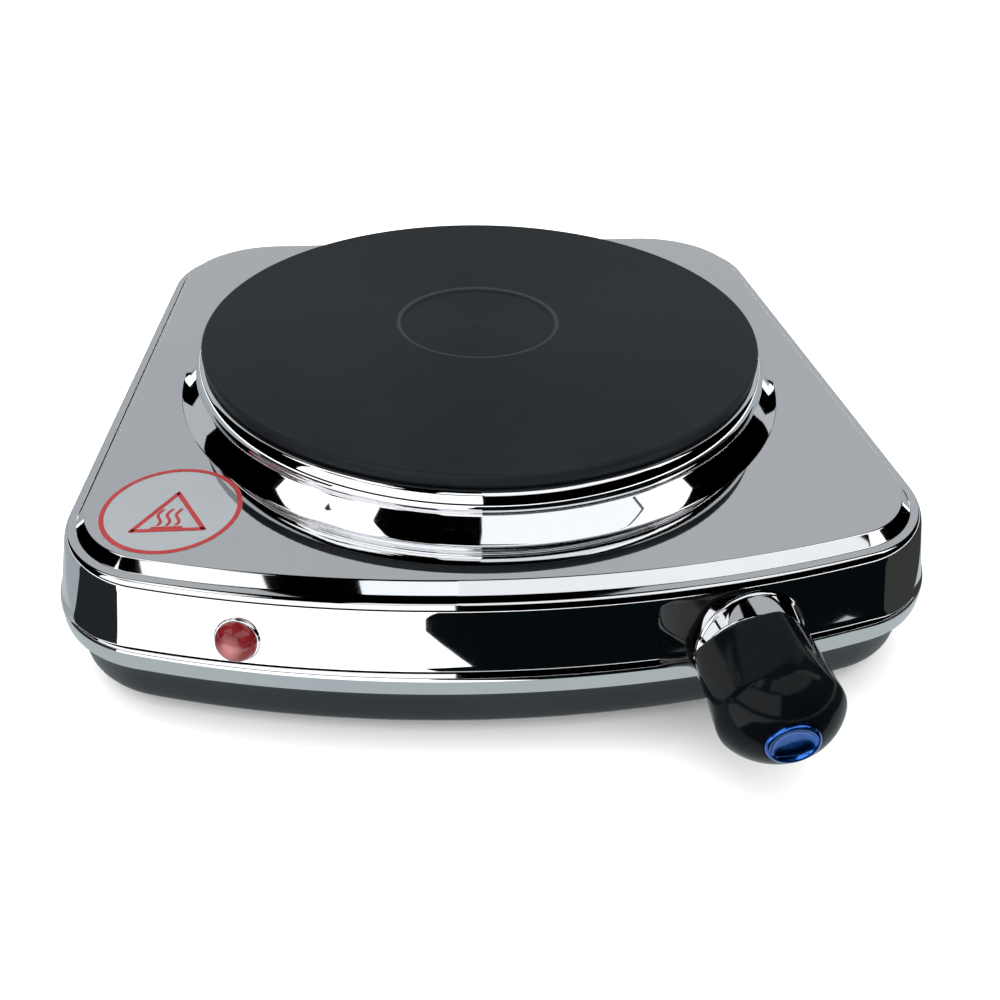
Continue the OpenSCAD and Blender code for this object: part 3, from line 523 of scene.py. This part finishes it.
def spun_piece(name, profile, materials, turns, centre=(0, 0, 0), place=None, close=True):
    """Spins a list of (radius, height) points about an upright axis."""
    bm = bmesh.new()
    start = [bm.verts.new((radius, 0, height)) for radius, height in profile]
    edges = [bm.edges.new(pair) for pair in zip(start, start[1:])]
    if close:
        edges.append(bm.edges.new((start[-1], start[0])))
    bmesh.ops.spin(bm, geom=start + edges, cent=(0, 0, 0), axis=(0, 0, 1), angle=math.tau, steps=turns,
                   use_merge=True)
    bmesh.ops.remove_doubles(bm, verts=bm.verts, dist=1e-6)
    bmesh.ops.dissolve_degenerate(bm, edges=bm.edges, dist=1e-7)
    bmesh.ops.recalc_face_normals(bm, faces=bm.faces)
    bmesh.ops.transform(bm, verts=bm.verts, matrix=place or Matrix.Translation(centre))
    for face in bm.faces:
        face.smooth = True
    return new_piece(name, bm, materials)


def curve_points(points, count):
    """A smooth run through the points, count steps to each span."""
    run = []
    for i in range(len(points) - 1):
        before, after = points[max(i - 1, 0)], points[min(i + 2, len(points) - 1)]
        a, b = points[i], points[i + 1]
        for k in range(count):
            t = k / count
            run.append(tuple(0.5 * (2 * q + (r - p) * t + (2 * p - 5 * q + 4 * r - s) * t * t
                                    + (3 * q - p - 3 * r + s) * t ** 3)
                             for p, q, r, s in zip(before, a, b, after)))
    return run + [points[-1]]


ring_outside = (
    [(90.0, 61.35), (92.6, 61.35)]
    + arc_levels((92.6, 61.35), (93.75, 60.7), (93.3, 61.33), 3)
    + arc_levels((93.75, 60.7), (95.35, 57.2), (94.85, 59.3), 8)
    + arc_levels((95.35, 57.2), (94.75, 54.9), (95.55, 55.6), 6)
    + arc_levels((94.75, 54.9), (95.2, 54.4), (94.75, 54.75), 4)
    + [(98.1, 51.95), (100.6, 49.8)]
    + arc_levels((100.6, 49.8), (101.2, 49.34), (101.15, 49.5), 3)
)
ring_inside = ([(100.4, 49.34)] + [(r - 0.5, h - 0.4) for r, h in reversed(ring_outside[1:-4])]
               + [(90.0, 60.9)])
ring_profile = [(r * mm, h * mm) for r, h in ring_outside + ring_inside]
bright_chrome = finish("bright_chrome", (0.80, 0.81, 0.83), (0.85, 0.855, 0.865),
                       0.025, 0.015, 12, 300, metallic=1)
collar = spun_piece("spill_collar", ring_profile, [bright_chrome], 288, (plate_x, plate_y, 0))
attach(collar, "body")
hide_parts("spill_ring")

# ------------------------------------------------------------------ hot plate
# A grey iron casting with a black heat-proof coat. Its face is turned on a lathe, which leaves fine
# rings, and the middle is turned deeper so that the plate can't bow up when it's hot. A paler ring is
# painted on the coat along the recess's edge as a painted highlight.

plate_radius = 92.5 * mm
recess_radius, recess_depth = 26.9 * mm, 0.8 * mm
groove_pitch, groove_depth = 0.85 * mm, 0.11 * mm


def turned_rings(inner, outer, height):
    """Points of a lathe-turned face: a shallow groove between each pair of crests."""
    count = round((outer - inner) / groove_pitch)
    points = []
    for i in range(count * 2 + 1):
        points.append((inner + (outer - inner) * i / (count * 2), height - (groove_depth if i % 2 else 0)))
    return points


plate_profile = [(0.0, plate_top - recess_depth)]
plate_profile += turned_rings(0.6 * mm, recess_radius - 1.3 * mm, plate_top - recess_depth)
plate_profile += [(recess_radius - 0.9 * mm, plate_top - recess_depth * 0.8),
                  (recess_radius - 0.25 * mm, plate_top - recess_depth * 0.15)]
plate_profile += turned_rings(recess_radius + 0.2 * mm, plate_radius - 1.3 * mm, plate_top)
edge_round = 1.1 * mm
for i in range(0, 7):
    phi = math.pi / 2 * i / 6
    plate_profile.append((plate_radius - edge_round + edge_round * math.sin(phi),
                          plate_top - edge_round + edge_round * math.cos(phi)))
plate_profile += [(plate_radius - 0.1 * mm, plate_top - 3.0 * mm),
                  (plate_radius - 0.6 * mm, plate_top - 4.5 * mm),
                  (88.0 * mm, plate_top - 4.55 * mm), (86.5 * mm, plate_top - 4.6 * mm),
                  (86.5 * mm, axis_low.z), (0.0, axis_low.z)]
cast_coat = finish("cast_iron", (0.0040, 0.0065, 0.0085), (0.0075, 0.0105, 0.0130),
                   0.42, 0.10, 40, 2600, bump=0.03 * mm)
cast_coat.node_tree.nodes["Principled BSDF"].inputs["Specular IOR Level"].default_value = 0.16
nodes, link = cast_coat.node_tree.nodes, cast_coat.node_tree.links.new
place = nodes.new("ShaderNodeTexCoord")
from_axis = nodes.new("ShaderNodeVectorMath")
from_axis.operation = "DISTANCE"
from_axis.inputs[1].default_value = (plate_x, plate_y, plate_top)
off_line = nodes.new("ShaderNodeMath")
off_line.operation = "SUBTRACT"
off_line.inputs[1].default_value = recess_radius
width = nodes.new("ShaderNodeMath")
width.operation = "ABSOLUTE"
# Painted highlight: the base colour turns paler within a millimetre of the recess's edge.
recess_highlight = nodes.new("ShaderNodeMapRange")
recess_highlight.inputs["From Min"].default_value = 0.9 * mm
recess_highlight.inputs["From Max"].default_value = 0.3 * mm
highlight_mix = nodes.new("ShaderNodeMix")
highlight_mix.data_type = "RGBA"
highlight_mix.inputs[7].default_value = (0.020, 0.027, 0.032, 1)
link(place.outputs["Object"], from_axis.inputs[0])
link(from_axis.outputs["Value"], off_line.inputs[0])
link(off_line.outputs[0], width.inputs[0])
link(width.outputs[0], recess_highlight.inputs["Value"])
link(recess_highlight.outputs["Result"], highlight_mix.inputs["Factor"])
link(nodes["grain"].outputs["Colour"], highlight_mix.inputs[6])
link(highlight_mix.outputs[2], nodes["Principled BSDF"].inputs["Base Color"])
plate_disc = spun_piece("cooking_plate", plate_profile, [cast_coat], 224, (plate_x, plate_y, 0), close=False)
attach(plate_disc, "body")
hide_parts("hotplate")

# ------------------------------------------------------------------ knob
# A ball-ended knob moulded in black thermoset. Four slightly crowned flats give the grip, and its
# back is open round the spindle's sleeve.

ball_radius, ball_height = 18.2 * mm, 10.3 * mm
cap_radius = 6.9 * mm
cap_seat = ball_height + math.sqrt(ball_radius ** 2 - cap_radius ** 2)
barrel_radius, barrel_height = 17.1 * mm, 6.4 * mm
knob_hollow, hollow_depth = 9.3 * mm, 4.0 * mm
bore_radius, bore_depth = 3.6 * mm, 18 * mm
rear_edge = 0.45 * mm
flat_rear, flat_front, flat_front_height = 14.7 * mm, 15.8 * mm, 19.6 * mm
flat_curve_rear, flat_curve_front = 27 * mm, 16.4 * mm
flat_turn = math.radians(35)
crease_round = 0.22 * mm
knob_place = Matrix.Translation((knob_x, knob_back, knob_z)) @ Matrix.Rotation(math.pi / 2, 4, "X")


def barrel(height):
    """The knob's radius before its flats are cut: a slightly tapered barrel that runs into the ball."""
    if height > barrel_height:
        return math.sqrt(max(ball_radius ** 2 - (height - ball_height) ** 2, 0))
    shoulder = math.sqrt(ball_radius ** 2 - (barrel_height - ball_height) ** 2)
    return barrel_radius + (shoulder - barrel_radius) * math.sin(math.pi / 2 * height / barrel_height)


def grip_radius(angle, height, ball):
    """The barrel's radius, cut back beside the four flats, with a small round where they meet."""
    share = height / flat_front_height
    depth = flat_rear + (flat_front - flat_rear) * share
    flat_curve = flat_curve_rear + (flat_curve_front - flat_curve_rear) * min(share, 1.0) ** 2
    reach = [ball]
    for i in range(4):
        away = angle - flat_turn - i * math.pi / 2
        centre = depth - flat_curve
        inside = flat_curve ** 2 - (centre * math.sin(away)) ** 2
        if math.cos(away) > 0.2 and inside > 0:
            reach.append(centre * math.cos(away) + math.sqrt(inside))
    nearest = min(reach)
    return nearest - crease_round * math.log(sum(math.exp((nearest - r) / crease_round) for r in reach))


skin = [(rear_edge, 0.0), (0.13 * mm, 0.13 * mm), (0.0, rear_edge)]
nose_height = ball_height + math.sqrt(ball_radius ** 2 - (cap_radius + 0.25 * mm) ** 2)
skin_steps = 96
for i in range(1, skin_steps + 1):
    swing = math.sin(math.pi / 2 * i / skin_steps)
    skin.append((0.0, rear_edge + (nose_height - rear_edge) * swing))
bm = bmesh.new()
start = []
for inset, height in skin:
    start.append(bm.verts.new((barrel(height) - inset, 0, height)))
for radius, height in ((cap_radius, cap_seat - 0.05 * mm), (cap_radius - 0.1 * mm, cap_seat - 0.9 * mm),
                       (0, cap_seat - 0.9 * mm)):
    start.append(bm.verts.new((radius, 0, height)))
for radius, height in ((knob_hollow, 0), (knob_hollow - 0.2 * mm, hollow_depth), (bore_radius, hollow_depth),
                       (bore_radius, bore_depth), (0, bore_depth)):
    start.insert(0, bm.verts.new((radius, 0, height)))
edges = [bm.edges.new(pair) for pair in zip(start, start[1:])]
bmesh.ops.spin(bm, geom=start + edges, cent=(0, 0, 0), axis=(0, 0, 1), angle=math.tau, steps=320,
               use_merge=True)
bmesh.ops.remove_doubles(bm, verts=bm.verts, dist=1e-6)
bmesh.ops.recalc_face_normals(bm, faces=bm.faces)
for v in bm.verts:
    radius = math.hypot(v.co.x, v.co.y)
    if radius > knob_hollow + 0.1 * mm:
        ball = barrel(v.co.z)
        limit = grip_radius(math.atan2(v.co.y, v.co.x), v.co.z, ball) - (ball - radius)
        v.co.x *= limit / radius
        v.co.y *= limit / radius
bmesh.ops.transform(bm, verts=bm.verts, matrix=knob_place)
for face in bm.faces:
    face.smooth = True
knob_black = finish("knob_black", (0.0012, 0.0018, 0.0024), (0.0024, 0.0034, 0.004),
                    0.10, 0.05, 60, 1500, bump=0.004 * mm)
knob_black.node_tree.nodes["Principled BSDF"].inputs["Specular IOR Level"].default_value = 0.13
control_knob = new_piece("control_knob", bm, [knob_black])
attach(control_knob, "control")
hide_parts("knob")

# ------------------------------------------------------------------ knob cap
# The nose holds a pressed aluminium disc, dished and lacquered in blue, with a rounded rim.

cap_profile = [(0.0, cap_seat - 0.8 * mm), (cap_radius - 0.25 * mm, cap_seat - 0.8 * mm),
               (cap_radius - 0.15 * mm, cap_seat + 0.2 * mm), (cap_radius - 0.4 * mm, cap_seat + 0.75 * mm),
               (cap_radius - 0.85 * mm, cap_seat + 1.0 * mm), (cap_radius - 1.35 * mm, cap_seat + 0.9 * mm)]
cap_profile += curve_points([(cap_radius - 1.35 * mm, cap_seat + 0.9 * mm),
                             (cap_radius - 2.1 * mm, cap_seat + 0.25 * mm),
                             (3.4 * mm, cap_seat - 0.25 * mm), (1.6 * mm, cap_seat - 0.42 * mm),
                             (0.0, cap_seat - 0.47 * mm)], 5)[1:]
cap_blue = finish("cap_blue", (0.004, 0.10, 0.55), (0.008, 0.17, 0.72),
                  0.16, 0.08, 90, 2500, metallic=1, coat=1.0)
blue_cap = spun_piece("blue_cap", cap_profile, [cap_blue], 96, place=knob_place, close=False)
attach(blue_cap, "control")
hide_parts("knob_cap")

# ------------------------------------------------------------------ pilot lamp
# A red polycarbonate lens clips into the wall, and a thin chromed washer frames it. A neon tube
# behind it gives the pale glow in its middle.

lamp_x, lamp_z = -70 * mm, 34.2 * mm
lamp_wall = Vector((lamp_x, wall_y(lamp_x, lamp_z), lamp_z))
lamp_lean = math.atan2(wall_head[0] - wall_foot[0], wall_head[1] - wall_foot[1])
lamp_yaw = math.asin(lamp_x / front_arc)
lamp_place = (Matrix.Translation(lamp_wall) @ Matrix.Rotation(lamp_yaw, 4, "Z")
              @ Matrix.Rotation(math.pi / 2 - lamp_lean, 4, "X"))
lens_radius, lens_dome, lens_skirt = 5.6 * mm, 0.75, 0.7 * mm
lens_profile = [(0.0, 0.1 * mm), (4.3 * mm, 0.1 * mm), (4.4 * mm, 0.6 * mm)]
for i in range(0, 15):
    phi = math.pi / 2 * i / 14
    lens_profile.append((lens_radius * math.cos(phi), lens_skirt + lens_radius * lens_dome * math.sin(phi)))
lens_red = finish("lens_red", (0.075, 0.003, 0.005), (0.12, 0.006, 0.008),
                  0.16, 0.08, 300, 900, bump=0.06 * mm)
nodes, link = lens_red.node_tree.nodes, lens_red.node_tree.links.new
shader = nodes["Principled BSDF"]
shader.inputs["Coat Weight"].default_value = 0.25
place = nodes.new("ShaderNodeTexCoord")
reach = nodes.new("ShaderNodeVectorMath")
reach.operation = "DISTANCE"
reach.inputs[1].default_value = lamp_place @ Vector((-0.6 * mm, -0.8 * mm, 4.6 * mm))
glow = nodes.new("ShaderNodeMapRange")
glow.interpolation_type = "SMOOTHSTEP"
glow.inputs["From Min"].default_value = 4.2 * mm
glow.inputs["From Max"].default_value = 0.3 * mm
tint = nodes.new("ShaderNodeMix")
tint.data_type = "RGBA"
tint.inputs[6].default_value = (0.045, 0.0, 0.001, 1)
tint.inputs[7].default_value = (0.52, 0.24, 0.22, 1)
link(place.outputs["Object"], reach.inputs[0])
link(reach.outputs["Value"], glow.inputs["Value"])
link(glow.outputs["Result"], tint.inputs["Factor"])
link(tint.outputs[2], shader.inputs["Emission Color"])
shader.inputs["Emission Strength"].default_value = 0.8
lens = spun_piece("pilot_lens", lens_profile, [lens_red], 64, place=lamp_place, close=False)
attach(lens, "body")
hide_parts("lamp_lens")

bezel_profile = [(4.5 * mm, 0.0), (6.1 * mm, 0.0), (6.15 * mm, 0.2 * mm), (6.0 * mm, 0.5 * mm),
                 (5.7 * mm, 0.62 * mm), (5.4 * mm, 0.6 * mm), (4.5 * mm, 0.5 * mm)]
bezel = spun_piece("pilot_bezel", bezel_profile, [bright_chrome], 64, place=lamp_place)
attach(bezel, "body")
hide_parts("lamp_bezel")

# ------------------------------------------------------------------ heat mark
# A round clear film stuck on the body's front left corner. It is printed in red with a ring, and a
# triangle round three rising waves of heat over a short bar.

mark_x, mark_y = plate_x - 91 * mm, plate_y - 80 * mm
mark_radius, film_thickness = 19.5 * mm, 0.05 * mm
print_z, print_thickness = panel_z + 0.06 * mm, 0.03 * mm
line_width, triangle_radius, triangle_round = 1.3 * mm, 12.4 * mm, 0.9 * mm
clear_film = finish("clear_film", (0.55, 0.60, 0.63), (0.60, 0.65, 0.68), 0.24, 0.05, 60, 900)
clear_film.node_tree.nodes["Principled BSDF"].inputs["Alpha"].default_value = 0.08
mark_red = finish("mark_red", (0.24, 0.007, 0.009), (0.29, 0.012, 0.012), 0.45, 0.08, 200, 3000)


def thin_sheet(bm, thickness):
    """Lifts a flat drawing into a layer of ink or film."""
    grown = bmesh.ops.extrude_face_region(bm, geom=bm.faces[:])["geom"]
    fresh = [g for g in grown if isinstance(g, bmesh.types.BMVert)]
    bmesh.ops.translate(bm, verts=fresh, vec=(0, 0, thickness))
    bmesh.ops.recalc_face_normals(bm, faces=bm.faces)


bm = bmesh.new()
disc = bmesh.ops.create_circle(bm, cap_ends=True, segments=96, radius=mark_radius)["verts"]
bmesh.ops.translate(bm, verts=disc, vec=(mark_x, mark_y, panel_z + 0.01 * mm))
thin_sheet(bm, film_thickness)
mark_film = new_piece("heat_mark_film", bm, [clear_film])
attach(mark_film, "body")
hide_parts("caution_decal")

bm = bmesh.new()
disc = bmesh.ops.create_circle(bm, cap_ends=True, segments=96, radius=mark_radius - 0.1 * mm)["verts"]
middle = bm.faces[:]
bmesh.ops.inset_region(bm, faces=middle, thickness=line_width, use_boundary=True, use_even_offset=True)
bmesh.ops.delete(bm, geom=middle, context="FACES")
corners = bmesh.ops.create_circle(bm, cap_ends=True, segments=3, radius=triangle_radius)["verts"]
middle = [f for f in bm.faces if len(f.verts) == 3]
bmesh.ops.bevel(bm, geom=corners, offset=triangle_round, affect="VERTICES", segments=4, profile=0.5,
                material=-1)
middle = [f for f in bm.faces if f.calc_center_median().length < 3 * mm]
bmesh.ops.inset_region(bm, faces=middle, thickness=line_width, use_boundary=True, use_even_offset=True)
bmesh.ops.delete(bm, geom=middle, context="FACES")
triangle = [v for v in bm.verts if v.co.length < 13 * mm]
bmesh.ops.translate(bm, verts=triangle, vec=(0.7 * mm, -3.8 * mm, 0))
wave_foot, wave_width, wave_rise, wave_steps = -7.4 * mm, 0.45 * mm, 0.46 * mm, 16
wave_swing, wave_period = 0.62, 14
for x in (-2.5 * mm, 0.0, 2.5 * mm):
    low_end = [bm.verts.new((x - wave_width, wave_foot, 0)), bm.verts.new((x + wave_width, wave_foot, 0))]
    front = [bm.edges.new(low_end)]
    for i in range(1, wave_steps + 1):
        grown = bmesh.ops.extrude_edge_only(bm, edges=front)["geom"]
        fresh = [g for g in grown if isinstance(g, bmesh.types.BMVert)]
        before, after = (math.sin(math.tau * k / wave_period) for k in (i - 1, i))
        lean = wave_swing * (after - before)
        bmesh.ops.translate(bm, verts=fresh, vec=(lean * mm, wave_rise, 0))
        front = [g for g in grown if isinstance(g, bmesh.types.BMEdge) and set(g.verts) == set(fresh)]
bar = bmesh.ops.create_grid(bm, x_segments=1, y_segments=1, size=0.5)["verts"]
bmesh.ops.scale(bm, verts=bar, vec=(8.6 * mm, 0.9 * mm, 1))
bmesh.ops.translate(bm, verts=bar, vec=(0.2 * mm, -8.3 * mm, 0))
bmesh.ops.translate(bm, verts=bm.verts, vec=(mark_x, mark_y, print_z))
thin_sheet(bm, print_thickness)
mark_print = new_piece("heat_mark_print", bm, [mark_red])
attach(mark_print, "body")

# ------------------------------------------------------------------ heating unit
# Two resistance coils lie in grooves under the plate, bedded in magnesia cement and closed by a
# steel disc. One stud and nut pull the plate down onto a steel strap under the panel, with a
# thin bright dish between to keep the heat off the base. A glazed ceramic block carries the three pins.
def made_of(material, *names):
    """Gives a carried-over piece its material."""
    for name in names:
        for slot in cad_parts[name].material_slots:
            slot.material = material


coil_wire = finish("coil_wire", (0.17, 0.16, 0.15), (0.25, 0.22, 0.20),
                   0.48, 0.12, 120, 2400, metallic=1)
magnesia_cement = finish("magnesia_cement", (0.55, 0.53, 0.48), (0.64, 0.62, 0.57),
                         0.85, 0.08, 70, 1400, bump=0.1 * mm)
glazed_ceramic = finish("glazed_ceramic", (0.72, 0.70, 0.65), (0.79, 0.78, 0.74),
                        0.30, 0.08, 60, 900)
zinc_plate = finish("zinc_plate", (0.46, 0.47, 0.48), (0.55, 0.56, 0.57),
                    0.30, 0.12, 90, 1600, metallic=1)
bright_sheet = finish("bright_sheet", (0.66, 0.67, 0.68), (0.73, 0.74, 0.75),
                      0.20, 0.08, 25, 900, metallic=1)
made_of(coil_wire, "heating_coils")
made_of(magnesia_cement, "insulating_cement")
made_of(glazed_ceramic, "plate_terminal_block")
made_of(bright_sheet, "heat_reflector", "plate_cover")
made_of(zinc_plate, "plate_terminal_pins", "bridge_bracket", "plate_stud", "stud_washer", "stud_nut")

# ------------------------------------------------------------------ base fixings
# Four folded steel straps spot welded inside the corners, each tapped for the screw that
# comes up through a moulded rubber foot and the pan.
foot_rubber = finish("foot_rubber", (0.012, 0.012, 0.013), (0.020, 0.020, 0.021),
                     0.70, 0.10, 80, 1300, bump=0.04 * mm)
made_of(zinc_plate, "corner_straps", "base_screws")
made_of(foot_rubber, "rubber_feet")

# ------------------------------------------------------------------ thermostat
# A stamped steel frame with a brass bush, brass and bronze blades stacked between ceramic
# rings on one rivet, silver contacts, and a two-metal strip that bends as it warms.
turned_brass = finish("turned_brass", (0.56, 0.40, 0.16), (0.66, 0.49, 0.22),
                      0.28, 0.10, 100, 2200, metallic=1)
spring_bronze = finish("spring_bronze", (0.54, 0.34, 0.17), (0.62, 0.41, 0.22),
                       0.32, 0.10, 80, 1800, metallic=1)
silver_contact = finish("silver_contact", (0.74, 0.73, 0.70), (0.82, 0.81, 0.78),
                        0.26, 0.10, 200, 2600, metallic=1)
two_metal_strip = finish("two_metal_strip", (0.40, 0.38, 0.35), (0.48, 0.45, 0.40),
                         0.36, 0.10, 60, 1500, metallic=1)
made_of(zinc_plate, "thermostat_frame", "thermostat_screws", "thermostat_rivet")
made_of(turned_brass, "thermostat_bush")
made_of(spring_bronze, "adjusting_blade", "contact_blade")
made_of(silver_contact, "contact_points")
made_of(two_metal_strip, "bimetal_strip")
made_of(glazed_ceramic, "ceramic_spacers")

# ------------------------------------------------------------------ spindle and knob clip
# A turned brass shaft with a flat, and the rolled spring sleeve that grips it
# inside the knob.
clip_steel = finish("clip_steel", (0.36, 0.37, 0.39), (0.44, 0.45, 0.47),
                    0.34, 0.10, 140, 2000, metallic=1)
made_of(turned_brass, "thermostat_spindle")
made_of(clip_steel, "knob_clip")

# ------------------------------------------------------------------ neon lamp
# A small sealed glass tube with two leads in white sleeving, and the push-on
# steel washer that holds the lens in the wall.
neon_glass = finish("neon_glass", (0.80, 0.72, 0.68), (0.86, 0.79, 0.75), 0.08, 0.04, 90, 900)
neon_glass.node_tree.nodes["Principled BSDF"].inputs["Transmission Weight"].default_value = 0.85
white_sleeving = finish("white_sleeving", (0.68, 0.67, 0.63), (0.75, 0.74, 0.71),
                        0.58, 0.10, 120, 1800)
made_of(neon_glass, "neon_lamp")
made_of(white_sleeving, "lamp_leads")
made_of(clip_steel, "lamp_clip")

# ------------------------------------------------------------------ supply wiring
# A moulded rubber bush in the back wall, a ceramic block with brass clamps, a plated
# earth stud, and leads in glass braid with coloured varnish.
bush_rubber = finish("bush_rubber", (0.010, 0.010, 0.011), (0.017, 0.017, 0.018),
                     0.55, 0.10, 70, 1100, bump=0.03 * mm)
brown_braid = finish("brown_braid", (0.12, 0.050, 0.022), (0.17, 0.075, 0.036),
                     0.60, 0.10, 160, 2600, bump=0.03 * mm)
red_braid = finish("red_braid", (0.38, 0.022, 0.018), (0.47, 0.038, 0.030),
                   0.60, 0.10, 160, 2600, bump=0.03 * mm)
blue_braid = finish("blue_braid", (0.020, 0.070, 0.30), (0.032, 0.10, 0.38),
                    0.60, 0.10, 160, 2600, bump=0.03 * mm)
earth_braid = finish("earth_braid", (0.10, 0.30, 0.035), (0.50, 0.48, 0.040),
                     0.60, 0.10, 90, 2600, bump=0.03 * mm)
made_of(bush_rubber, "cord_gland")
made_of(glazed_ceramic, "terminal_block")
made_of(turned_brass, "terminal_clamps", "earth_nut")
made_of(zinc_plate, "terminal_block_screws", "earth_stud")
made_of(brown_braid, "live_lead")
made_of(red_braid, "switched_lead")
made_of(blue_braid, "neutral_lead")
made_of(earth_braid, "earth_lead")

# ------------------------------------------------------------------ rating plate
# A blank foil label stuck under the base.
label_foil = finish("label_foil", (0.52, 0.53, 0.54), (0.58, 0.59, 0.60),
                    0.38, 0.10, 80, 1400, metallic=1)
made_of(label_foil, "rating_plate")
